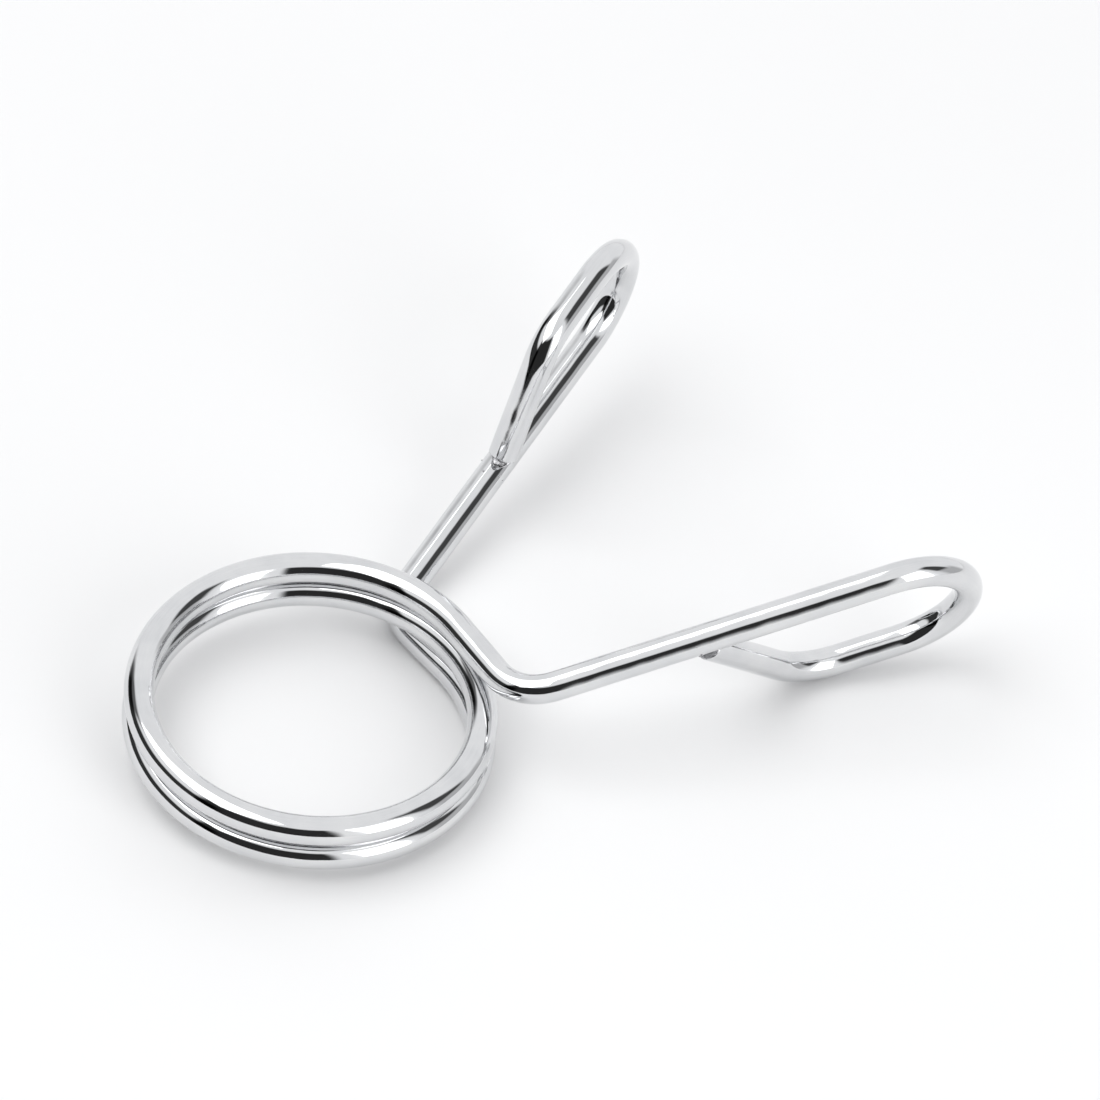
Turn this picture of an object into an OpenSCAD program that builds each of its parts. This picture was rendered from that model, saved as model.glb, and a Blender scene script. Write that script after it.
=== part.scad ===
// Spring collar for a barbell: one round wire wound into a coil of two turns, which grips the
// bar, and bent into two legs that are squeezed together in one hand. Each leg ends in a long
// finger loop whose cut end is welded back onto the leg.
// Frame: coil axis along Z, coil centre at the origin, legs towards +X. Millimetres.
// Squeezing the legs unwinds the coil and widens it. That bending is spread over eight
// flexing joints, so the coil is built as arcs that meet at round knuckles.

/* [Wire] */
// Diameter of the wire
wire_d = 4.8; // [4:0.1:5.2]
// Clear gap between one turn of the coil and the next
turn_gap = 0.5; // [0.4:0.05:0.8]

/* [Coil] */
// Mean radius of the coil at rest: its bore is a little smaller than the bar
coil_r = 27; // [25.5:0.25:29]
// Angle by which each end of the wire runs past two full turns
coil_lead = 2.5; // [1:0.5:4]

/* [Legs] */
// Length from the end of the coil to the corner of the neck, upper leg
upper_neck = 17.3; // [15:0.1:20]
// Length from the end of the coil to the corner of the neck, lower leg
lower_neck = 14.7; // [14:0.1:20]
// Length of the upper leg from the corner of its neck to its tip
upper_reach = 73.6; // [66:0.2:82]
// Length of the lower leg from the corner of its neck to its tip
lower_reach = 68.7; // [64:0.2:82]
// Angle between the upper leg and the middle of the collar, seen along the coil axis
upper_splay = 18.2; // [14:0.1:24]
// Angle between the lower leg and the middle of the collar, seen along the coil axis
lower_splay = 23.6; // [14:0.1:26]
// Angle by which both legs rise out of the coil's plane
leg_rise = 12.5; // [8:0.5:15]
// Radius of the bend at the neck
neck_bend_r = 8; // [6:0.25:9]

/* [Finger loops] */
// Width of the upper finger loop between wire centres
upper_loop_w = 23.5; // [18:0.25:24]
// Width of the lower finger loop between wire centres
lower_loop_w = 20; // [18:0.25:24]
// Lean of the upper finger loop, towards the other one, from square to the coil's plane
upper_lean = 16.6; // [0:0.2:20]
// Lean of the lower finger loop, towards the other one, from square to the coil's plane
lower_lean = 5.6; // [0:0.2:20]
// Straight length that runs back from the tip to the elbow, upper finger loop
upper_return = 10.3; // [1:0.1:14]
// Straight length that runs back from the tip to the elbow, lower finger loop
lower_return = 9.5; // [1:0.1:14]
// Angle turned at the elbow towards the leg, upper finger loop
upper_elbow_turn = 56; // [50:1:62]
// Angle turned at the elbow towards the leg, lower finger loop
lower_elbow_turn = 53; // [50:1:62]
// Radius of the bend at the elbow, upper finger loop
upper_elbow_r = 12; // [8:0.5:14]
// Radius of the bend at the elbow, lower finger loop
lower_elbow_r = 8; // [8:0.5:14]
// Angle by which the elbow is twisted out of the loop's plane, upper finger loop
upper_twist = 0; // [-4:0.1:4]
// Angle by which the elbow is twisted out of the loop's plane, lower finger loop
lower_twist = -1.9; // [-4:0.1:4]
// Radius of the bead that welds the cut end to the leg
weld_r = 2.1; // [1.8:0.1:2.3]

/* [Flexing joints] */
// Radius of the knuckle at each joint
knuckle_r = 2.65; // [2.65:0.05:2.8]
// Running clearance between a knuckle and its socket
joint_gap = 0.05; // [0.02:0.01:0.1]

/* [Hidden] */
$fn = 96;
wire_r = wire_d / 2;
// a knuckle always stands out past the wire that it ends
knuckle_rim = 0.2;
pin_r = max(knuckle_r, wire_r + knuckle_rim);
socket_r = pin_r + joint_gap;
turn_pitch = wire_d + turn_gap;

// coil angles count from the middle of the wire, which faces +X; the upper leg is at the low end
arc_span = 90;
joints_per_leg = 4;
first_joint = arc_span / 2;
last_joint = first_joint + (joints_per_leg - 1) * arc_span;
coil_end = 360 + coil_lead;
// how far an arc runs on past its joint before the knuckle is cut from it
knuckle_span = 7;
cut_size = 20;
splice_bulge = 0.02;
// how far the cut end's centre stands off the leg's, in wire radii: its near edge sinks in
cut_stand = 1.25;

chrome = [0.82, 0.83, 0.85];
weld_grey = [0.55, 0.56, 0.58];

// ---- vectors ----
function unit(v) = v / norm(v);
function turned_x(v, a) = [v[0], v[1] * cos(a) - v[2] * sin(a), v[1] * sin(a) + v[2] * cos(a)];
function turned_z(v, a) = [v[0] * cos(a) - v[1] * sin(a), v[0] * sin(a) + v[1] * cos(a), v[2]];

// children's +X along x_dir and their +Y on the side of y_side, with their origin at p
module aligned(p, x_dir, y_side) {
    x = unit(x_dir);
    z = unit(cross(x, y_side));
    y = cross(z, x);
    multmatrix([[x[0], y[0], z[0], p[0]],
                [x[1], y[1], z[1], p[1]],
                [x[2], y[2], z[2], p[2]],
                [0, 0, 0, 1]])
        children();
}

// ---- wire, from the origin towards +X ----
module straight(length)
    rotate([0, 90, 0])
        cylinder(r = wire_r, h = length);

// an arc that turns towards +Y
module bend(radius, angle)
    translate([0, radius, 0])
        rotate([0, 0, -90])
            rotate_extrude(angle = angle)
                translate([radius, 0])
                    circle(r = wire_r);

// a ball a hair wider than the wire, which fuses two lengths that meet end to end
module splice(p)
    translate(p)
        sphere(r = wire_r + splice_bulge);

// ---- coil ----
// an arc of the coil lies in a plane, tilted about its middle so that its ends meet the next arcs
function drop(a) = -turn_pitch * a / 360;
function half_span(a0, a1) = (a1 - a0) / 2;
function arc_tilt(a0, a1) =
    asin(-drop(half_span(a0, a1)) / (coil_r * sin(half_span(a0, a1))));

module arc_frame(a0, a1)
    rotate([0, 0, (a0 + a1) / 2])
        translate([0, 0, drop((a0 + a1) / 2)])
            rotate([-arc_tilt(a0, a1), 0, 0])
                children();

// the wire from coil angle a0 to a1, run on past each end by before and after
module coil_wire(a0, a1, before, after)
    arc_frame(a0, a1)
        rotate([0, 0, -half_span(a0, a1) - before])
            rotate_extrude(angle = a1 - a0 + before + after)
                translate([coil_r, 0])
                    circle(r = wire_r);

module at_joint(a)
    rotate([0, 0, a])
        translate([coil_r, 0, drop(a)])
            children();

module knuckle_cylinder(r)
    cylinder(r = r, h = cut_size, center = true);

// what is cut away beyond a knuckle; way is 1 where the wire runs on to larger angles
module beyond_knuckle(a, way)
    at_joint(a)
        difference() {
            translate([0, way * cut_size / 2, 0])
                cube(cut_size, center = true);
            knuckle_cylinder(pin_r);
        }

module socket(a)
    at_joint(a)
        knuckle_cylinder(socket_r);

// the middle arc has a knuckle at both ends
module centre_arc()
    difference() {
        coil_wire(-first_joint, first_joint, knuckle_span, knuckle_span);
        beyond_knuckle(-first_joint, -1);
        beyond_knuckle(first_joint, 1);
    }

// arc n towards the upper leg: a socket nearer the middle and a knuckle nearer the leg
module upper_arc(n) {
    inner = -first_joint - (n - 1) * arc_span;
    outer = inner - arc_span;
    difference() {
        coil_wire(outer, inner, knuckle_span, 0);
        socket(inner);
        beyond_knuckle(outer, -1);
    }
}

// the wire is the same when it is turned over about X, but for its leg sizes
module lower_half()
    rotate([180, 0, 0])
        children();

// ---- neck, leg and finger loop, all worked out on the upper side ----
// where the coil ends, and the way the wire leaves it
end_arc = [-coil_end, -last_joint];
end_half = half_span(end_arc[0], end_arc[1]);
end_mid = (end_arc[0] + end_arc[1]) / 2;
end_tilt = arc_tilt(end_arc[0], end_arc[1]);
end_point = turned_z(turned_x(coil_r * [cos(end_half), -sin(end_half), 0], -end_tilt), end_mid)
            + [0, 0, drop(end_mid)];
end_way = turned_z(turned_x([-sin(end_half), -cos(end_half), 0], -end_tilt), end_mid);

function corner(neck) = end_point + neck * end_way;
function leg_way(splay, rise) = [cos(splay) * cos(rise), -sin(splay) * cos(rise), sin(rise)];
function neck_turn(way) = acos(end_way * way);
function neck_setback(way) = neck_bend_r * tan(neck_turn(way) / 2);
// square to the leg: down towards the coil's other turns, and across towards the other leg
function down(way) = unit([0, 0, -1] + way[2] * way);
function across(way) = unit([-way[1], way[0], 0]);
function loop_way(way, lean) = cos(lean) * down(way) + sin(lean) * across(way);

module neck_bend(neck, way)
    difference() {
        union() {
            coil_wire(end_arc[0], end_arc[1], 0, 0);
            aligned(end_point, end_way, way)
                straight(neck - neck_setback(way));
            aligned(corner(neck) - neck_setback(way) * end_way, end_way, way)
                bend(neck_bend_r, neck_turn(way));
            splice(end_point);
            splice(corner(neck) - neck_setback(way) * end_way);
        }
        socket(-last_joint);
    }

module leg(neck, sizes, way)
    aligned(corner(neck) + neck_setback(way) * way, way, [0, 0, 1])
        straight(tip_at(sizes) - neck_setback(way));

// in a leg's own plane: X along the leg from the corner of the neck, Y across the finger loop
module leg_plane(neck, way, lean)
    aligned(corner(neck), way, loop_way(way, lean))
        children();

// a finger loop's own sizes are kept together
upper_sizes = [upper_reach, upper_loop_w, upper_return, upper_elbow_turn, upper_elbow_r,
               upper_twist];
lower_sizes = [lower_reach, lower_loop_w, lower_return, lower_elbow_turn, lower_elbow_r,
               lower_twist];
function reach_of(sizes) = sizes[0];
function width_of(sizes) = sizes[1];
function return_of(sizes) = sizes[2];
function turn_of(sizes) = sizes[3];
function elbow_r_of(sizes) = sizes[4];
function twist_of(sizes) = sizes[5];

// in the leg's plane: where the tip's round begins, where the elbow begins, where it ends
function tip_at(sizes) = reach_of(sizes) - width_of(sizes) / 2;
function elbow_at(sizes) = tip_at(sizes) - return_of(sizes);
function elbow_setback(sizes) = elbow_r_of(sizes) * tan(turn_of(sizes) / 2);
function tail_drop(sizes) = width_of(sizes) - elbow_setback(sizes) * sin(turn_of(sizes));
function tail_start(sizes) =
    [elbow_at(sizes) - elbow_setback(sizes) * (1 + cos(turn_of(sizes))), tail_drop(sizes), 0];
function tail_way(sizes) = [-cos(turn_of(sizes)), -sin(turn_of(sizes)), 0];
function tail_length(sizes) = (tail_drop(sizes) - cut_stand * wire_r) / sin(turn_of(sizes));
function cut_end(sizes) = tail_start(sizes) + tail_length(sizes) * tail_way(sizes);

// what is past the straight return, turned about the return by a small twist
module twisted(sizes)
    translate([0, width_of(sizes), 0])
        rotate([twist_of(sizes), 0, 0])
            translate([0, -width_of(sizes), 0])
                children();

module tail(sizes)
    aligned(tail_start(sizes), tail_way(sizes), [0, -1, 0])
        straight(tail_length(sizes));

module finger_loop(sizes)
    difference() {
        union() {
            translate([tip_at(sizes), 0, 0])
                bend(width_of(sizes) / 2, 180);
            translate([elbow_at(sizes), width_of(sizes), 0])
                straight(return_of(sizes));
            twisted(sizes) {
                aligned([elbow_at(sizes), width_of(sizes), 0], [-1, 0, 0], [0, -1, 0])
                    bend(elbow_r_of(sizes), turn_of(sizes));
                splice([elbow_at(sizes), width_of(sizes), 0]);
                tail(sizes);
                splice(tail_start(sizes));
            }
        }
        straight(tip_at(sizes));
    }

module weld_bead(sizes)
    difference() {
        twisted(sizes)
            translate(cut_end(sizes))
                sphere(r = weld_r);
        twisted(sizes)
            tail(sizes);
        straight(tip_at(sizes));
    }

upper_way = leg_way(upper_splay, leg_rise);
// the lower leg is turned over, so it rises by leaning the other way here
lower_way = leg_way(lower_splay, -leg_rise);

// ---- nodes ----
module coil_centre()
    color(chrome)
        centre_arc();

module coil_upper_1()
    color(chrome)
        upper_arc(1);

module coil_upper_2()
    color(chrome)
        upper_arc(2);

module coil_upper_3()
    color(chrome)
        upper_arc(3);

module coil_lower_1()
    color(chrome)
        lower_half()
            upper_arc(1);

module coil_lower_2()
    color(chrome)
        lower_half()
            upper_arc(2);

module coil_lower_3()
    color(chrome)
        lower_half()
            upper_arc(3);

module upper_neck_bend()
    color(chrome)
        neck_bend(upper_neck, upper_way);

module upper_leg()
    color(chrome)
        leg(upper_neck, upper_sizes, upper_way);

module upper_loop()
    color(chrome)
        leg_plane(upper_neck, upper_way, upper_lean)
            finger_loop(upper_sizes);

module upper_weld()
    color(weld_grey)
        leg_plane(upper_neck, upper_way, upper_lean)
            weld_bead(upper_sizes);

module lower_neck_bend()
    color(chrome)
        lower_half()
            neck_bend(lower_neck, lower_way);

module lower_leg()
    color(chrome)
        lower_half()
            leg(lower_neck, lower_sizes, lower_way);

module lower_loop()
    color(chrome)
        lower_half()
            leg_plane(lower_neck, lower_way, lower_lean)
                finger_loop(lower_sizes);

module lower_weld()
    color(weld_grey)
        lower_half()
            leg_plane(lower_neck, lower_way, lower_lean)
                weld_bead(lower_sizes);

coil_centre();
coil_upper_1();
coil_upper_2();
coil_upper_3();
coil_lower_1();
coil_lower_2();
coil_lower_3();
upper_neck_bend();
upper_leg();
upper_loop();
upper_weld();
lower_neck_bend();
lower_leg();
lower_loop();
lower_weld();
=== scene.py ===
"""Looks of the barbell spring collar: one chrome-plated wire in ten lengths, and its two welds."""

import math

import bpy
import numpy as np
from mathutils import Matrix, Vector


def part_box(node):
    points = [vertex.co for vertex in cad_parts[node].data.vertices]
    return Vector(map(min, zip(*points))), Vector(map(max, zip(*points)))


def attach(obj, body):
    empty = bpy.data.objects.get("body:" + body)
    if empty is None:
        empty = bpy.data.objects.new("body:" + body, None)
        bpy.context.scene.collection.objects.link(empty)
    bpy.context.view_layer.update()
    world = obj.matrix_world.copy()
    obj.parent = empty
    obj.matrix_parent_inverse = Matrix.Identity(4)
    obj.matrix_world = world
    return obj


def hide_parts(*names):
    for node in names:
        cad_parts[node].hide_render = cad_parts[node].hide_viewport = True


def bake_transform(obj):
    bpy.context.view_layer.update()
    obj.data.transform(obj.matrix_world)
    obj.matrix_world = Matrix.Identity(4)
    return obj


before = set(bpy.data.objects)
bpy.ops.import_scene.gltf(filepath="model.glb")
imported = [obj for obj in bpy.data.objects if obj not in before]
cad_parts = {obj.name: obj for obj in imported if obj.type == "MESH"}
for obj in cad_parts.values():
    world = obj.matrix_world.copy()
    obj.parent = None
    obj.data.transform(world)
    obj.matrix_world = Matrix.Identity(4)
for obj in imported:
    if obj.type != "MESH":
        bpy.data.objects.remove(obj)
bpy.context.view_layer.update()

# ---- driving sizes, the same as in the CAD: millimetres and degrees ----
MM = 0.001
WIRE_R = 2.4
TURN_PITCH = 5.3
COIL_R = 27.0
COIL_LEAD = 2.5
NECK_BEND_R = 8.0
LEG_RISE = 12.5
# how far the middle of a cut end stands off its leg's centre line, in wire radii
CUT_STAND = 1.25
CUT_END_OFF = CUT_STAND * WIRE_R
# each side of the coil is drawn in this many lengths, each of this angle
ARCS_PER_SIDE = 4
ARC_SPAN = 90.0
# neck, reach, width, back and elbow_r are in millimetres and the other sizes in degrees;
# turn is -1 for the side that is drawn like the upper one and then turned over
SIDES = {
    "upper": {"turn": 1, "rise": LEG_RISE, "neck": 17.3, "reach": 73.6, "splay": 18.2,
              "lean": 16.6, "width": 23.5, "back": 10.3, "elbow_turn": 56.0, "elbow_r": 12.0,
              "twist": 0.0, "seed": 11},
    "lower": {"turn": -1, "rise": -LEG_RISE, "neck": 14.7, "reach": 68.7, "splay": 23.6,
              "lean": 5.6, "width": 20.0, "back": 9.5, "elbow_turn": 53.0, "elbow_r": 8.0,
              "twist": -1.9, "seed": 23},
}

# ---- how finely the wire is drawn ----
AROUND = 56         # points around the wire
COIL_STEP = 0.6     # degrees between two rings of the coil
PATH_STEP = 0.28    # mm between two rings of a handle
DENSE_STEP = 0.05   # mm between two points of a handle's centre line
LEAD_STEP = 0.1     # degrees between two points of the coil's end, where a handle's line begins
NECK_POINTS, TIP_POINTS, ELBOW_POINTS = 160, 220, 120


def unit(v):
    v = np.asarray(v, float)
    return v / np.linalg.norm(v)


def smooth(x):
    x = np.clip(x, 0.0, 1.0)
    return x * x * (3 - 2 * x)


# ---- centre lines, all worked out on the upper side ----
def coil_frame(a):
    """Centre, travel and outward directions of the coil, at the angles a from its middle."""
    t = np.radians(np.asarray(a, float))
    c, s, zero = np.cos(t), np.sin(t), np.zeros_like(t)
    centre = np.stack([COIL_R * c, -COIL_R * s, TURN_PITCH * np.asarray(a, float) / 360], 1)
    climb = TURN_PITCH / (2 * math.pi * COIL_R)
    travel = np.stack([-s, -c, zero + climb], 1) / math.hypot(1, climb)
    return centre, travel, np.stack([c, -s, zero], 1)


COIL_MM_PER_DEG = math.radians(math.hypot(COIL_R, TURN_PITCH / (2 * math.pi)))


def leg_axes(side):
    """The way the leg runs, and the way its finger loop opens."""
    splay, rise, lean = (math.radians(side[k]) for k in ("splay", "rise", "lean"))
    way = np.array([math.cos(splay) * math.cos(rise), -math.sin(splay) * math.cos(rise),
                    math.sin(rise)])
    down = unit(np.array([0, 0, -1]) + way[2] * way)
    across = unit([-way[1], way[0], 0])
    return way, math.cos(lean) * down + math.sin(lean) * across


def rounded(a, corner, b, radius, n):
    """Points of the arc that rounds a corner."""
    u, v = unit(a - corner), unit(b - corner)
    angle = math.acos(u @ v)
    p0 = corner + u * radius / math.tan(angle / 2)
    centre = corner + unit(u + v) * radius / math.sin(angle / 2)
    e0 = unit(p0 - centre)
    axis = unit(np.cross(e0, v))
    e1 = np.cross(axis, e0)
    t = np.linspace(0, math.pi - angle, n)[:, None]
    return centre + radius * (np.cos(t) * e0 + np.sin(t) * e1)


def resample(points, step):
    gone = np.concatenate([[0], np.cumsum(np.linalg.norm(np.diff(points, axis=0), axis=1))])
    keep = np.concatenate([[True], np.diff(gone) > 1e-9])
    gone, points = gone[keep], points[keep]
    at = np.linspace(0, gone[-1], max(2, int(round(gone[-1] / step))) + 1)
    return np.stack([np.interp(at, gone, points[:, k]) for k in range(3)], 1)


# a handle's line begins this many degrees before the seam, which is where the coil's lengths end
BEFORE_SEAM = 8.0
SEAM = ARCS_PER_SIDE * ARC_SPAN
# a wire eases into its bends over about this length, in mm, and fully so this far past the seam
SOFTEN = 0.9
SOFTEN_IN = 3.0


def handle_line(side):
    """Centre line of a handle, from a little before its seam to the cut end.

    With it come the middle of the cut end and the way the tail runs there, the way the leg runs,
    the way the loop opens, and the corner that the neck's bend rounds.
    """
    way, opening = leg_axes(side)
    lead, travel, _ = coil_frame(np.arange(
        SEAM - BEFORE_SEAM, SEAM + COIL_LEAD + LEAD_STEP / 10, LEAD_STEP))
    corner = lead[-1] + side["neck"] * travel[-1]
    width, radius, turn = side["width"], side["elbow_r"], math.radians(side["elbow_turn"])
    setback = radius * math.tan(turn / 2)
    tip = side["reach"] - width / 2
    elbow = tip - side["back"]
    drop = width - setback * math.sin(turn)
    tail = (drop - CUT_END_OFF) / math.sin(turn)
    tail_way = np.array([-math.cos(turn), -math.sin(turn)])
    tail_start = np.array([elbow - setback * (1 + math.cos(turn)), drop])

    def plane(p):
        p = np.atleast_2d(p)
        return corner + p[:, :1] * way + p[:, 1:2] * opening

    t = np.linspace(-math.pi / 2, math.pi / 2, TIP_POINTS)
    u_turn = np.stack([tip + width / 2 * np.cos(t), width / 2 * (1 + np.sin(t))], 1)
    t = np.linspace(math.pi / 2, math.pi / 2 + turn, ELBOW_POINTS)
    bend = np.stack([elbow + radius * np.cos(t), width - radius + radius * np.sin(t)], 1)
    cut = tail_start + tail * tail_way
    twist = math.radians(side["twist"])
    twisted_way = math.cos(twist) * opening + math.sin(twist) * np.cross(way, opening)

    def twisted(p):
        p = np.atleast_2d(p)
        return corner + width * opening + p[:, :1] * way + (p[:, 1:2] - width) * twisted_way

    pieces = [lead, rounded(lead[-1], corner, corner + way, NECK_BEND_R, NECK_POINTS),
              plane(u_turn), twisted(bend), twisted(cut)]
    line = resample(np.concatenate(pieces), DENSE_STEP)
    # the line is softened, but not at the seam, and its ends stay where they are
    reach = int(3 * SOFTEN / DENSE_STEP)
    weight = np.exp(-0.5 * (np.arange(-reach, reach + 1) * DENSE_STEP / SOFTEN) ** 2)
    weight /= weight.sum()
    padded = np.concatenate([
        2 * line[0] - line[reach:0:-1], line, 2 * line[-1] - line[-2:-reach - 2:-1]])
    soft = np.stack([np.convolve(padded[:, k], weight, mode="valid") for k in range(3)], 1)
    gone = np.arange(len(line)) * DENSE_STEP
    seam_at = BEFORE_SEAM * COIL_MM_PER_DEG
    ease = smooth((gone - seam_at) / SOFTEN_IN)[:, None]
    line = line + (soft - line) * ease
    tail_runs = unit(tail_way[0] * way + tail_way[1] * twisted_way)
    return line, twisted(cut)[0], tail_runs, way, opening, corner


def transported(line, first):
    """Travel, outward and sideways directions along a line, with no twist."""
    travel = np.gradient(line, axis=0)
    travel /= np.linalg.norm(travel, axis=1)[:, None]
    out = np.zeros_like(line)
    out[0] = unit(first - (first @ travel[0]) * travel[0])
    for i in range(1, len(line)):
        v = out[i - 1] - (out[i - 1] @ travel[i]) * travel[i]
        out[i] = v / np.linalg.norm(v)
    return travel, out, np.cross(travel, out)


# ---- the surface of the wire ----
THETA = np.linspace(0, 2 * math.pi, AROUND, endpoint=False)
# slow ripples left by drawing and polishing: height in mm, waves around, waves per mm, phase
RIPPLES = [(0.0060, 2, 0.021, 0.4), (0.0050, 1, 0.047, 2.1), (0.0040, 3, 0.033, 4.0),
           (0.0030, 1, 0.112, 1.3), (0.0022, 2, 0.187, 5.2), (0.0016, 4, 0.140, 3.3),
           (0.0012, 3, 0.290, 0.9)]
# in a tight bend the wire is wider all round, and flatter across the bend: shares of its radius
BEND_WIDER, BEND_FLATTER = 0.012, 0.034


def ripple(theta, s):
    """Height of the ripples; it runs on without a step from one length of wire to the next."""
    height = np.zeros(np.broadcast(theta, s).shape)
    for size, around, per_mm, phase in RIPPLES:
        height += size * np.cos(around * theta + 2 * math.pi * per_mm * s + phase)
    return height


def wire_grid(centre, out, side_way, s, turn, curve=None, marks=()):
    """Points (ring, around) of the wire's skin, and their place on the wire for the material.

    A mark is its place along the wire and round it, its length, its width round and its depth.
    """
    theta = THETA[None, :]
    direction = (np.cos(theta)[..., None] * out[:, None]
                 + np.sin(theta)[..., None] * side_way[:, None])
    radius = WIRE_R + ripple(turn * theta, turn * s[:, None])
    if curve is not None:
        tight = np.linalg.norm(curve, axis=1)
        inward = curve / np.maximum(tight, 1e-9)[:, None]
        share = np.clip(tight * NECK_BEND_R, 0, 1)[:, None]
        towards = np.einsum("rak,rk->ra", direction, inward)
        radius = radius + share * WIRE_R * (BEND_WIDER - BEND_FLATTER * towards ** 2)
    for at, angle, length, width, depth in marks:
        round_by = (theta - angle + math.pi) % (2 * math.pi) - math.pi
        dent = np.exp(-((s[:, None] - at) / length) ** 2 - (round_by / width) ** 2)
        radius = radius - depth * dent
    points = centre[:, None] + radius[..., None] * direction
    place = np.stack([radius * np.cos(theta) + 0 * s[:, None],
                      turn * radius * np.sin(theta) + 0 * s[:, None],
                      turn * s[:, None] + 0 * theta], -1)
    return points, place


def grid_normals(points):
    along = points[2:] - points[:-2]
    around = np.roll(points, -1, 1)[1:-1] - np.roll(points, 1, 1)[1:-1]
    n = np.cross(around, along)
    return n / np.maximum(np.linalg.norm(n, axis=2), 1e-12)[..., None]


def flipped(points, turn):
    """The lower half is the upper half turned over about X."""
    return points * np.array([1, turn, turn])


def wire_mesh(name, points, place, normals, turn, cut_way=None):
    """A closed mesh of rings. Both ends are flat seams inside the wire, unless cut_way is the way
    that the last one faces as a cut end, which closes to a point."""
    rings, around = points.shape[:2]
    verts = (flipped(points.reshape(-1, 3), turn) * MM).tolist()
    coords = place.reshape(-1, 3).tolist()
    i, j = np.meshgrid(np.arange(rings - 1), np.arange(around), indexing="ij")
    k = (j + 1) % around
    quads = np.stack([i * around + j, i * around + k, (i + 1) * around + k,
                      (i + 1) * around + j], -1).reshape(-1, 4)
    faces = quads.tolist()
    loop_normals = flipped(normals.reshape(-1, 3), turn)[quads.reshape(-1)].tolist()

    def close_flat(order, ring, inner):
        faces.append(order)
        face_way = unit(points[ring].mean(0) - points[inner].mean(0))
        loop_normals.extend([flipped(face_way, turn).tolist()] * around)

    close_flat(list(range(around))[::-1], 0, 1)
    last = list(range((rings - 1) * around, rings * around))
    if cut_way is None:
        close_flat(last, rings - 1, rings - 2)
    else:
        tip = len(verts)
        verts.append((flipped(points[-1].mean(0), turn) * MM).tolist())
        coords.append(place[-1].mean(0).tolist())
        faces += [[last[n], last[(n + 1) % around], tip] for n in range(around)]
        loop_normals += [flipped(unit(cut_way), turn).tolist()] * (3 * around)
    mesh = bpy.data.meshes.new(name)
    mesh.from_pydata(verts, [], faces)
    mesh.update()
    mesh.polygons.foreach_set("use_smooth", [True] * len(mesh.polygons))
    mesh.normals_split_custom_set(loop_normals)
    attribute = mesh.attributes.new("wire_place", "FLOAT_VECTOR", "POINT")
    attribute.data.foreach_set("vector", np.asarray(coords, np.float32).ravel())
    obj = bpy.data.objects.new(name, mesh)
    bpy.context.scene.collection.objects.link(obj)
    return obj


# ---- materials ----
def new_material(name):
    material = bpy.data.materials.new(name)
    material.use_nodes = True
    nodes, links = material.node_tree.nodes, material.node_tree.links
    return material, nodes, links, nodes["Principled BSDF"]


def new_metal(name):
    material, nodes, links, shader = new_material(name)
    shader.inputs["Metallic"].default_value = 1.0
    return material, nodes, links, shader


def math_node(nodes, links, kind, *values):
    node = nodes.new("ShaderNodeMath")
    node.operation = kind
    for socket, value in zip(node.inputs, values):
        if isinstance(value, (int, float)):
            socket.default_value = value
        else:
            links.new(value, socket)
    return node.outputs[0]


def ramp_node(nodes, links, source, stops):
    node = nodes.new("ShaderNodeValToRGB")
    links.new(source, node.inputs["Fac"])
    elements = node.color_ramp.elements
    while len(elements) < len(stops):
        elements.new(0.5)
    for element, (at, colour) in zip(elements, stops):
        element.position = at
        element.color = (*colour, 1)
    return node.outputs["Color"]


def range_node(nodes, links, source, low, high, to_low, to_high, kind="LINEAR"):
    node = nodes.new("ShaderNodeMapRange")
    node.interpolation_type = kind
    links.new(source, node.inputs["Value"])
    for key, value in (("From Min", low), ("From Max", high),
                       ("To Min", to_low), ("To Max", to_high)):
        node.inputs[key].default_value = value
    return node.outputs["Result"]


def noise_node(nodes, links, vector, scale, detail, rough=0.5):
    node = nodes.new("ShaderNodeTexNoise")
    links.new(vector, node.inputs["Vector"])
    node.inputs["Scale"].default_value = scale
    node.inputs["Detail"].default_value = detail
    node.inputs["Roughness"].default_value = rough
    return node.outputs["Fac"]


def link_bump(nodes, links, shader, height, strength, distance):
    bump = nodes.new("ShaderNodeBump")
    bump.inputs["Strength"].default_value = strength
    bump.inputs["Distance"].default_value = distance
    links.new(height, bump.inputs["Height"])
    links.new(bump.outputs["Normal"], shader.inputs["Normal"])


def mixed(nodes, links, a, share_a, b, share_b):
    return math_node(nodes, links, "ADD", math_node(nodes, links, "MULTIPLY", a, share_a),
                     math_node(nodes, links, "MULTIPLY", b, share_b))


def wire_vector(nodes, links, along):
    """The place on the wire, in mm, with the length along it scaled by along."""
    place = nodes.new("ShaderNodeAttribute")
    place.attribute_name = "wire_place"
    mapping = nodes.new("ShaderNodeMapping")
    mapping.inputs["Scale"].default_value = (1, 1, along)
    links.new(place.outputs["Vector"], mapping.inputs["Vector"])
    return mapping.outputs["Vector"]


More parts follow.
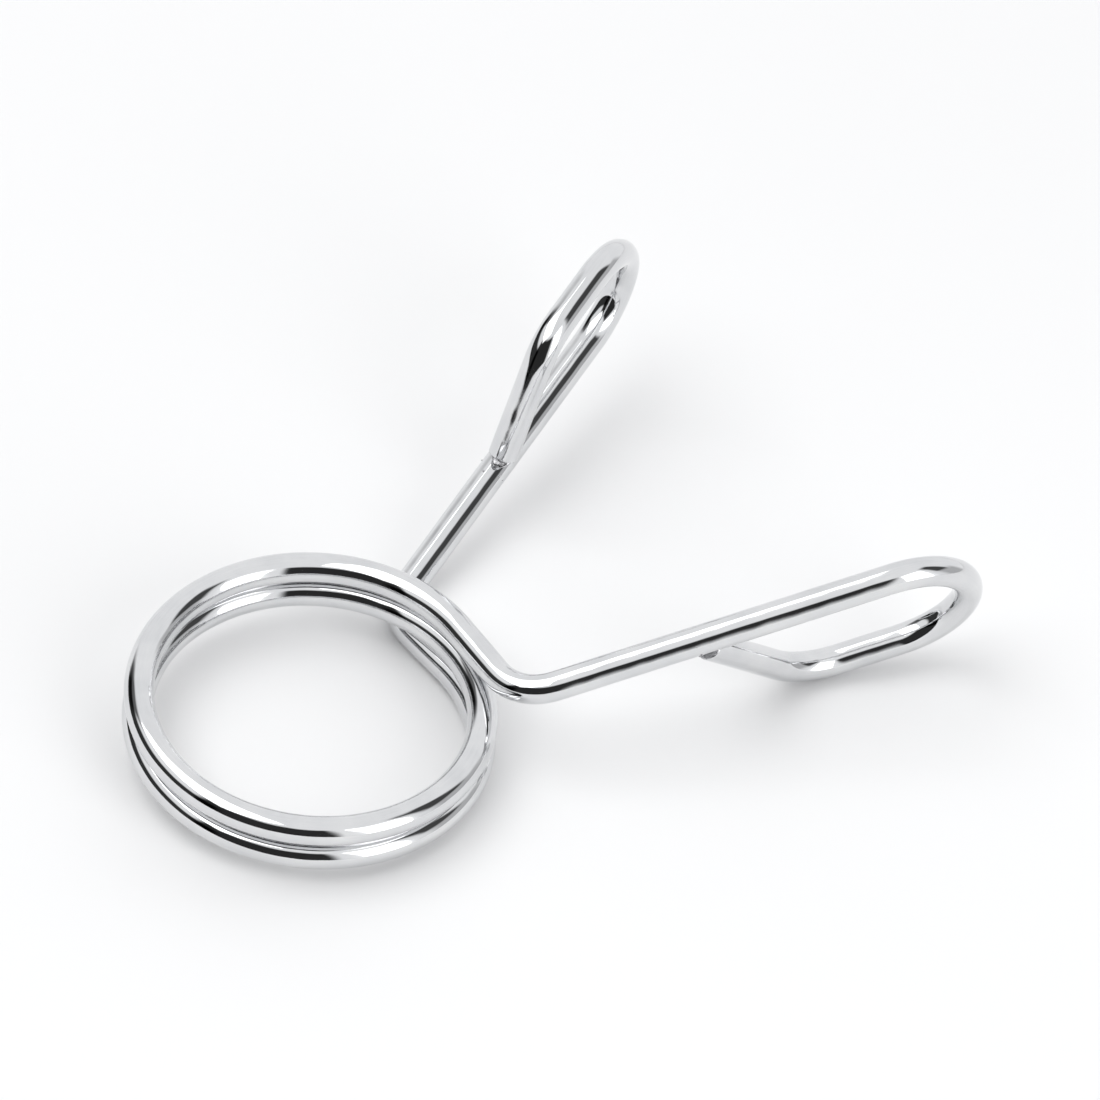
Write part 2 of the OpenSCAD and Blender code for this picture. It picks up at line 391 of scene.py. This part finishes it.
def chrome_material():
    material, nodes, links, shader = new_metal("bright_chrome_wire")
    even = wire_vector(nodes, links, 1.0)
    drawn = wire_vector(nodes, links, 0.03)
    clouds = noise_node(nodes, links, even, 0.16, 3)
    streaks = noise_node(nodes, links, drawn, 5.5, 4, 0.6)
    grain = noise_node(nodes, links, even, 9.0, 2)
    colour = ramp_node(nodes, links, mixed(nodes, links, clouds, 0.7, streaks, 0.3),
                       [(0.30, (0.655, 0.662, 0.675)), (0.50, (0.715, 0.720, 0.730)),
                        (0.70, (0.765, 0.768, 0.772))])
    links.new(colour, shader.inputs["Base Color"])
    haze = range_node(nodes, links, clouds, 0.35, 0.68, 0.030, 0.060)
    rough = math_node(nodes, links, "ADD", haze,
                      range_node(nodes, links, streaks, 0.45, 0.75, 0.0, 0.04))
    links.new(rough, shader.inputs["Roughness"])
    link_bump(nodes, links, shader, mixed(nodes, links, streaks, 0.7, grain, 0.3), 0.12, 0.00002)
    return material


def cut_material():
    material, nodes, links, shader = new_metal("sheared_cut_face")
    even = wire_vector(nodes, links, 1.0)
    torn = noise_node(nodes, links, even, 2.2, 6, 0.7)
    colour = ramp_node(nodes, links, torn,
                       [(0.3, (0.36, 0.36, 0.37)), (0.7, (0.60, 0.60, 0.61))])
    links.new(colour, shader.inputs["Base Color"])
    links.new(range_node(nodes, links, torn, 0.3, 0.7, 0.24, 0.42), shader.inputs["Roughness"])
    link_bump(nodes, links, shader, torn, 0.5, 0.00015)
    return material


def weld_material():
    material, nodes, links, shader = new_metal("plated_weld")
    coords = nodes.new("ShaderNodeTexCoord")
    scaled = nodes.new("ShaderNodeMapping")
    scaled.inputs["Scale"].default_value = (1 / MM, 1 / MM, 1 / MM)
    links.new(coords.outputs["Object"], scaled.inputs["Vector"])
    vector = scaled.outputs["Vector"]
    lumps = noise_node(nodes, links, vector, 0.9, 4)
    pits = noise_node(nodes, links, vector, 5.0, 3, 0.6)
    colour = ramp_node(nodes, links, lumps,
                       [(0.30, (0.42, 0.42, 0.43)), (0.55, (0.56, 0.56, 0.575)),
                        (0.75, (0.66, 0.66, 0.67))])
    links.new(colour, shader.inputs["Base Color"])
    links.new(range_node(nodes, links, pits, 0.3, 0.7, 0.16, 0.34), shader.inputs["Roughness"])
    link_bump(nodes, links, shader, pits, 0.35, 0.00008)
    return material


chrome = chrome_material()
cut_face = cut_material()
plated_weld = weld_material()


# ---- the coil: eight lengths, drawn in place of the CAD's coil parts ----
def build_coil(side_name):
    side = SIDES[side_name]
    turn = side["turn"]
    for k in range(1, ARCS_PER_SIDE + 1):
        first, last = ARC_SPAN * (k - 1), ARC_SPAN * k
        a = np.arange(first - COIL_STEP, last + 1.5 * COIL_STEP, COIL_STEP)
        centre, travel, out = coil_frame(a)
        points, place = wire_grid(
            centre, out, np.cross(travel, out), a * COIL_MM_PER_DEG, turn)
        obj = wire_mesh(f"wire_coil_{side_name}_{k}", points[1:-1], place[1:-1],
                        grid_normals(points), turn)
        obj.data.materials.append(chrome)
        parent = "coil_centre" if k == 1 else f"coil_{side_name}_{k - 1}"
        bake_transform(obj)
        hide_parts(parent)


# ---- the handles: neck, leg and finger loop, down to the sheared cut end ----
# how the cut end closes up: distance run on past the last ring, share of the radius
CUT_EDGE = [(0.06, 0.995), (0.14, 0.972), (0.20, 0.935), (0.235, 0.885), (0.25, 0.82),
            (0.252, 0.70), (0.25, 0.55), (0.245, 0.38), (0.24, 0.2)]
# its first rings are still plated, and the face inside them is torn by up to about this, in mm
PLATED_RINGS = 4
CUT_TEAR = 0.07
# what the bending tools leave outside and inside a bend: length in mm, width in radians, depth
OUTER_MARK = (1.6, 0.5, 0.030)
INNER_MARK = (1.1, 0.7, 0.022)
# a bend is tight from this share of the neck bend's curvature on
TIGHT_SHARE = 0.4
# past the seam the bends' flattening waits for the first of these lengths and then grows over
# the second, in mm, so that the seam itself meets the coil's round wire
FLATTEN_WAIT, FLATTEN_IN = 1.0, 2.0


def build_handle(side_name):
    side = SIDES[side_name]
    turn = side["turn"]
    dense, cut, tail_way, way, opening, corner = handle_line(side)
    dense_out = coil_frame([SEAM - BEFORE_SEAM])[2][0]
    travel, out, sideways = transported(dense, dense_out)
    gone = np.arange(len(dense)) * np.linalg.norm(np.diff(dense, axis=0), axis=1).mean()
    seam_at = BEFORE_SEAM * COIL_MM_PER_DEG
    # turn the frame about the wire so that it meets the coil's outward direction at the seam
    at_seam = int(np.argmin(abs(gone - seam_at)))
    wanted = coil_frame([SEAM])[2][0]
    twist = math.atan2(wanted @ sideways[at_seam], wanted @ out[at_seam])
    out, sideways = (math.cos(twist) * out + math.sin(twist) * sideways,
                     math.cos(twist) * sideways - math.sin(twist) * out)
    curve = np.gradient(travel, gone, axis=0)
    curve = curve * smooth((gone - seam_at - FLATTEN_WAIT) / FLATTEN_IN)[:, None]
    count = int(round((gone[-1] - seam_at) / PATH_STEP))
    at = seam_at + np.arange(-1, count + 1) * (gone[-1] - seam_at) / count
    at[-1] = gone[-1]

    def along(values):
        return np.stack([np.interp(at, gone, values[:, k]) for k in range(3)], 1)

    centre, out, sideways, curve = along(dense), along(out), along(sideways), along(curve)
    out /= np.linalg.norm(out, axis=1)[:, None]
    sideways /= np.linalg.norm(sideways, axis=1)[:, None]
    s = SEAM * COIL_MM_PER_DEG + at - seam_at
    # marks of the bending tools where each tight bend begins and ends
    tight = np.linalg.norm(curve, axis=1)
    bent = tight > TIGHT_SHARE / NECK_BEND_R
    edges = np.flatnonzero(np.diff(bent.astype(int)))
    marks = []
    for e in edges:
        towards = unit(curve[e] if bent[e] else curve[e + 1])
        inner = math.atan2(towards @ sideways[e], towards @ out[e])
        marks.append((s[e], inner + math.pi, *OUTER_MARK))
        marks.append((s[e], inner, *INNER_MARK))
    points, place = wire_grid(centre, out, sideways, s, turn, curve, marks)
    # the sheared end
    last_centre, last = centre[-1], points[-1]
    extra, extra_place = [], []
    wobble = (np.cos(2 * THETA + 0.6 + side["seed"]) * 0.5
              + np.cos(3 * THETA + side["seed"]) * 0.3)
    for run, share in CUT_EDGE:
        ring = last_centre + share * (last - last_centre) + run * tail_way
        torn = CUT_TEAR * (1 - share) / (1 - CUT_EDGE[-1][1]) * wobble * share * 3
        extra.append(ring + torn[:, None] * tail_way)
        extra_place.append(place[-1] * np.array([share, share, 1]) + np.array([0, 0, turn * run]))
    points = np.concatenate([points, extra])
    place = np.concatenate([place, extra_place])
    normals = grid_normals(points)
    obj = wire_mesh(f"wire_handle_{side_name}", points[1:-1], place[1:-1], normals, turn, tail_way)
    obj.data.materials.append(chrome)
    obj.data.materials.append(cut_face)
    first_cut_ring = len(points) - 2 - len(CUT_EDGE) + PLATED_RINGS
    for polygon in obj.data.polygons:
        if min(polygon.vertices) >= first_cut_ring * AROUND:
            polygon.material_index = 1
    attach(obj, f"{side_name}_handle")
    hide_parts(f"{side_name}_neck_bend", f"{side_name}_leg", f"{side_name}_loop")
    return cut, tail_way, way, opening, corner


# ---- the welds ----
BEAD_R = 0.50
BEAD_SINK = 0.30
BEAD_VOXEL = 0.00011
# points along the bead's closed line, and around it
BEAD_POINTS, BEAD_AROUND = 120, 16
# where the tail stands clear of the leg, the bead lies on the cut edge, this far past the cut
BEAD_CLEAR = 0.12
# its line is evened over this many points to either side, with this spread
BEAD_EVEN, BEAD_SPREAD = 6, 2.2
# its thickness as a share of BEAD_R where it stands clear, what the leg adds to that and over
# what run, and the waves along it: size, number and part of the seed
BEAD_THIN, BEAD_SWELL, BEAD_SWELL_RUN = 0.45, 0.55, 0.5
BEAD_WAVES = ((0.16, 9, 1), (0.09, 17, 2))
# the lump that fills the wedge between cut face and leg: half sizes, and its place from the
# middle of the cut, both along the leg, the way the loop opens and across
LUMP_SIZE = (1.5, 0.9, 1.5)
LUMP_PLACE = (-0.75, -0.42, 0.1)
LUMP_ROWS, LUMP_COLS = 24, 36
# spatter: number of beads, and the middle and spread of their place along the leg in mm,
# of their place round it in half turns, and of their size in mm
SPATTER_BEADS = 5
SPATTER_ALONG = (-2.6, 1.9)
SPATTER_ROUND = (0.5, 0.8)
SPATTER_SIZE = (0.16, 0.07)
SPATTER_LIFT = 0.02
HASH_WEIGHTS = (12.9898, 78.233, 37.719)
HASH_SCALE = 43758.5453


def hashed(*numbers):
    """A repeatable value from -1 to 1."""
    x = math.sin(sum(n * k for n, k in zip(numbers, HASH_WEIGHTS))) * HASH_SCALE
    return 2 * (x - math.floor(x)) - 1


def add_mesh(name, verts, faces):
    mesh = bpy.data.meshes.new(name)
    mesh.from_pydata([tuple(v) for v in verts], [], faces)
    mesh.update()
    obj = bpy.data.objects.new(name, mesh)
    bpy.context.scene.collection.objects.link(obj)
    return obj


def lump(centre, axes, sizes, seed):
    """An uneven closed lump: a ball of rings, pushed in and out."""
    rows, cols = LUMP_ROWS, LUMP_COLS
    verts, faces = [], []
    for i in range(1, rows):
        for j in range(cols):
            p, q = math.pi * i / rows, 2 * math.pi * j / cols
            d = np.array([math.cos(p), math.sin(p) * math.cos(q), math.sin(p) * math.sin(q)])
            swell = (1 + 0.10 * math.sin(3 * q + seed) * math.sin(p)
                     + 0.07 * math.sin(4 * p + 2 * seed))
            swell += 0.05 * math.cos(5 * q - 2 * p + seed)
            verts.append(centre + swell * (axes.T @ (d * sizes)))
    for i in range(rows - 2):
        for j in range(cols):
            k = (j + 1) % cols
            faces.append([i * cols + j, (i + 1) * cols + j, (i + 1) * cols + k, i * cols + k])
    faces.append(list(range(cols)))
    faces.append(list(range((rows - 2) * cols, (rows - 1) * cols))[::-1])
    return verts, faces


def bead_line(cut, tail_way, way, corner, across):
    """The closed line where the tail's skin meets the leg's, or the cut edge where it stays clear.

    With it come the angles round the tail of its points, and how far past the cut each one lies.
    """
    a = unit(np.cross(across, tail_way))
    b = np.cross(tail_way, a)
    theta = np.linspace(0, 2 * math.pi, BEAD_POINTS, endpoint=False)
    ring = cut + WIRE_R * (np.cos(theta)[:, None] * a + np.sin(theta)[:, None] * b)
    rel = ring - corner
    rel = rel - (rel @ way)[:, None] * way
    step = tail_way - (tail_way @ way) * way
    qa, qb = step @ step, rel @ step
    qc = (rel ** 2).sum(1) - WIRE_R ** 2
    inside = qb ** 2 - qa * qc
    met = (-qb - np.sqrt(np.maximum(inside, 0))) / qa
    run = np.where(inside > 0, np.minimum(met, BEAD_CLEAR), BEAD_CLEAR)
    kernel = np.exp(-0.5 * (np.arange(-BEAD_EVEN, BEAD_EVEN + 1) / BEAD_SPREAD) ** 2)
    kernel /= kernel.sum()
    around = np.concatenate([run[-BEAD_EVEN:], run, run[:BEAD_EVEN]])
    run = np.convolve(around, kernel, mode="valid")
    return ring + run[:, None] * tail_way, theta, run


def bead_tube(line, thick):
    """A closed tube around a closed line, sunk a little towards the line's middle."""
    travel = np.roll(line, -1, 0) - np.roll(line, 1, 0)
    travel /= np.linalg.norm(travel, axis=1)[:, None]
    outward = line - line.mean(0)
    outward -= (outward * travel).sum(1)[:, None] * travel
    outward /= np.linalg.norm(outward, axis=1)[:, None]
    sideways = np.cross(travel, outward)
    line = line - BEAD_SINK * outward
    n, m = len(line), BEAD_AROUND
    verts, faces = [], []
    for i in range(n):
        for j in range(m):
            p = 2 * math.pi * j / m
            i2, j2 = (i + 1) % n, (j + 1) % m
            verts.append(
                line[i] + thick[i] * (math.cos(p) * outward[i] + math.sin(p) * sideways[i]))
            faces.append([i * m + j, i * m + j2, i2 * m + j2, i2 * m + j])
    return verts, faces


def build_weld(side_name, cut, tail_way, way, opening, corner):
    side = SIDES[side_name]
    turn = side["turn"]
    seed = side["seed"]
    across = np.cross(way, opening)
    line, theta, run = bead_line(cut, tail_way, way, corner, across)
    thick = BEAD_R * (BEAD_THIN + BEAD_SWELL * smooth((BEAD_CLEAR - run) / BEAD_SWELL_RUN))
    waves = 1
    for size, number, part in BEAD_WAVES:
        waves = waves + size * np.sin(number * theta + part * seed)
    verts, faces = bead_tube(line, thick * waves)
    axes = np.stack([way, opening, across])

    def add_lump(centre, sizes, seed):
        more, more_faces = lump(centre, axes, np.array(sizes), seed)
        faces.extend([len(verts) + v for v in f] for f in more_faces)
        verts.extend(more)

    along, up, over = LUMP_PLACE
    add_lump(cut + along * way + up * opening + over * across, LUMP_SIZE, seed)
    for k in range(SPATTER_BEADS):
        angle = math.pi * (SPATTER_ROUND[0] + SPATTER_ROUND[1] * hashed(seed, k, 1))
        place = corner + ((cut - corner) @ way + SPATTER_ALONG[0]
                          + SPATTER_ALONG[1] * hashed(seed, k, 2)) * way
        skin = place + (WIRE_R + SPATTER_LIFT) * (math.cos(angle - math.pi / 2) * opening
                                                  + math.sin(angle - math.pi / 2) * across)
        size = SPATTER_SIZE[0] + SPATTER_SIZE[1] * hashed(seed, k, 3)
        add_lump(skin, (size, size, size), seed + k)
    verts = flipped(np.array(verts), turn) * MM
    obj = add_mesh(f"weld_{side_name}", verts, faces)
    remesh = obj.modifiers.new("fuse", "REMESH")
    remesh.mode = "VOXEL"
    remesh.voxel_size = BEAD_VOXEL
    relax = obj.modifiers.new("relax", "SMOOTH")
    relax.factor = 0.5
    relax.iterations = 4
    graph = bpy.context.evaluated_depsgraph_get()
    fused = bpy.data.meshes.new_from_object(obj.evaluated_get(graph))
    obj.modifiers.clear()
    obj.data = fused
    fused.polygons.foreach_set("use_smooth", [True] * len(fused.polygons))
    fused.materials.clear()
    fused.materials.append(plated_weld)
    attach(obj, f"{side_name}_handle")
    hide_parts(f"{side_name}_weld")


for name in SIDES:
    build_coil(name)
    build_weld(name, *build_handle(name))

# ---- floor, not part of the object ----
FLOOR_HALF = 3.0
lowest = min(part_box(node)[0].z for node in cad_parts)


def floor_material():
    material, nodes, links, shader = new_material("pale_floor")
    coords = nodes.new("ShaderNodeTexCoord")
    cloud = noise_node(nodes, links, coords.outputs["Object"], 3.0, 2)
    links.new(ramp_node(nodes, links, cloud,
                        [(0.3, (0.905, 0.905, 0.907)), (0.7, (0.925, 0.925, 0.925))]),
              shader.inputs["Base Color"])
    shader.inputs["Roughness"].default_value = 0.9
    shader.inputs["Specular IOR Level"].default_value = 0.1
    return material


floor_corners = [(x * FLOOR_HALF, y * FLOOR_HALF, lowest)
                 for x, y in ((-1, -1), (1, -1), (1, 1), (-1, 1))]
floor = add_mesh("studio_floor", floor_corners, [[0, 1, 2, 3]])
floor.data.materials.append(floor_material())

# ---- camera at the photograph's viewing angle ----
VIEW_AZIMUTH, VIEW_ELEVATION, VIEW_ROLL = 38.40, 46.39, -5.57
VIEW_DISTANCE = 6.5
# what the picture spans at the object, and how far its middle is to the right and up, in metres
VIEW_WIDTH = 0.172
VIEW_OFFSET = (0.0375, 0.0254)
SENSOR_WIDTH = 36.0
NEAREST, FARTHEST = 0.1, 50.0
az, el, roll = (math.radians(v) for v in (VIEW_AZIMUTH, VIEW_ELEVATION, VIEW_ROLL))
towards = Vector((-math.sin(az) * math.cos(el), -math.cos(az) * math.cos(el), math.sin(el)))
level_right = Vector((math.cos(az), -math.sin(az), 0))
level_up = Vector((math.sin(az) * math.sin(el), math.cos(az) * math.sin(el), math.cos(el)))
right = level_right * math.cos(roll) - level_up * math.sin(roll)
up = level_right * math.sin(roll) + level_up * math.cos(roll)
camera_data = bpy.data.cameras.new("camera")
camera_data.sensor_width = SENSOR_WIDTH
camera_data.lens = camera_data.sensor_width * VIEW_DISTANCE / VIEW_WIDTH
camera_data.clip_start, camera_data.clip_end = NEAREST, FARTHEST
camera = bpy.data.objects.new("camera", camera_data)
spot = right * VIEW_OFFSET[0] + up * VIEW_OFFSET[1] + towards * VIEW_DISTANCE
camera.matrix_world = Matrix([(right[i], up[i], towards[i], spot[i]) for i in range(3)]
                             + [(0, 0, 0, 1)])
bpy.context.scene.collection.objects.link(camera)
bpy.context.scene.camera = camera

# ---- studio: a bright room with a darker side in front and one dark upright to the right ----
BRIGHT = 0.98
ROOM_COLOUR = (0.985, 0.99, 1.0)
# each: angle to the right of the photographer, height, half widths of both, softness of the
# edge, all in degrees, and how much darker or brighter it is
DARK_PATCHES = [(-17, 16, 40, 33, 4, 0.97), (-88, 6, 46, 20, 4, 0.96), (-128, 24, 12, 17, 5, 0.85),
                (91, 41, 15, 18, 5, 0.93), (98, 10, 20, 14, 7, 0.45)]
BRIGHT_PATCHES = [(-83, 64, 50, 16, 6, 0.25), (50, 20, 15, 32, 5, 0.30)]


def build_world():
    world = bpy.data.worlds.new("studio")
    bpy.context.scene.world = world
    world.use_nodes = True
    nodes, links = world.node_tree.nodes, world.node_tree.links
    nodes.clear()
    coords = nodes.new("ShaderNodeTexCoord")
    split = nodes.new("ShaderNodeSeparateXYZ")
    links.new(coords.outputs["Generated"], split.inputs[0])
    x, y, z = split.outputs

    def calc(kind, *values):
        return math_node(nodes, links, kind, *values)

    to_right = calc("ADD", calc("MULTIPLY", x, math.cos(az)), calc("MULTIPLY", y, -math.sin(az)))
    to_front = calc("ADD", calc("MULTIPLY", x, -math.sin(az)), calc("MULTIPLY", y, -math.cos(az)))
    azimuth = calc("MULTIPLY", calc("ARCTAN2", to_right, to_front), 180 / math.pi)
    height = calc("MULTIPLY", calc("ARCSINE", z), 180 / math.pi)

    def patch(angle, at, half_angle, half_height, soft):
        turn = calc("ABSOLUTE", calc("WRAP", calc("SUBTRACT", azimuth, angle), 180, -180))
        rise = calc("ABSOLUTE", calc("SUBTRACT", height, at))
        parts = [range_node(nodes, links, value, half - soft, half + soft, 1, 0, "SMOOTHSTEP")
                 for value, half in ((turn, half_angle), (rise, half_height))]
        return calc("MULTIPLY", *parts)

    level = None
    for *shape, depth in DARK_PATCHES:
        kept = calc("SUBTRACT", 1.0, calc("MULTIPLY", patch(*shape), depth))
        level = kept if level is None else calc("MULTIPLY", level, kept)
    level = calc("MULTIPLY", level, BRIGHT)
    for *shape, gain in BRIGHT_PATCHES:
        level = calc("ADD", level, calc("MULTIPLY", patch(*shape), gain))
    background = nodes.new("ShaderNodeBackground")
    links.new(level, background.inputs["Strength"])
    background.inputs["Color"].default_value = (*ROOM_COLOUR, 1)
    output = nodes.new("ShaderNodeOutputWorld")
    links.new(background.outputs[0], output.inputs["Surface"])


build_world()

# a big soft box above to the left, and an upright one to the right of the photographer:
# name, angle to the right, height, distance in metres, width, length, brightness
SOFT_BOXES = [("softbox_above", -83, 66, 1.4, 1.5, 0.9, 1.45),
              ("softbox_upright", 50, 24, 1.3, 0.62, 1.2, 1.5)]


def build_soft_boxes():
    to_camera = Vector((towards.x, towards.y, 0)).normalized()
    for name, angle, height, distance, width, length, brightness in SOFT_BOXES:
        a, h = math.radians(angle), math.radians(height)
        level = level_right * math.sin(a) + to_camera * math.cos(a)
        way = level * math.cos(h) + Vector((0, 0, 1)) * math.sin(h)
        data = bpy.data.lights.new(name, "AREA")
        data.shape = "RECTANGLE"
        data.size, data.size_y = width, length
        data.energy = brightness * math.pi * width * length
        lamp = bpy.data.objects.new(name, data)
        lamp.location = way * distance
        lamp.rotation_euler = (-way).to_track_quat("-Z", "Y").to_euler()
        lamp.visible_camera = False
        bpy.context.scene.collection.objects.link(lamp)


build_soft_boxes()

bpy.context.scene.view_settings.view_transform = "Standard"
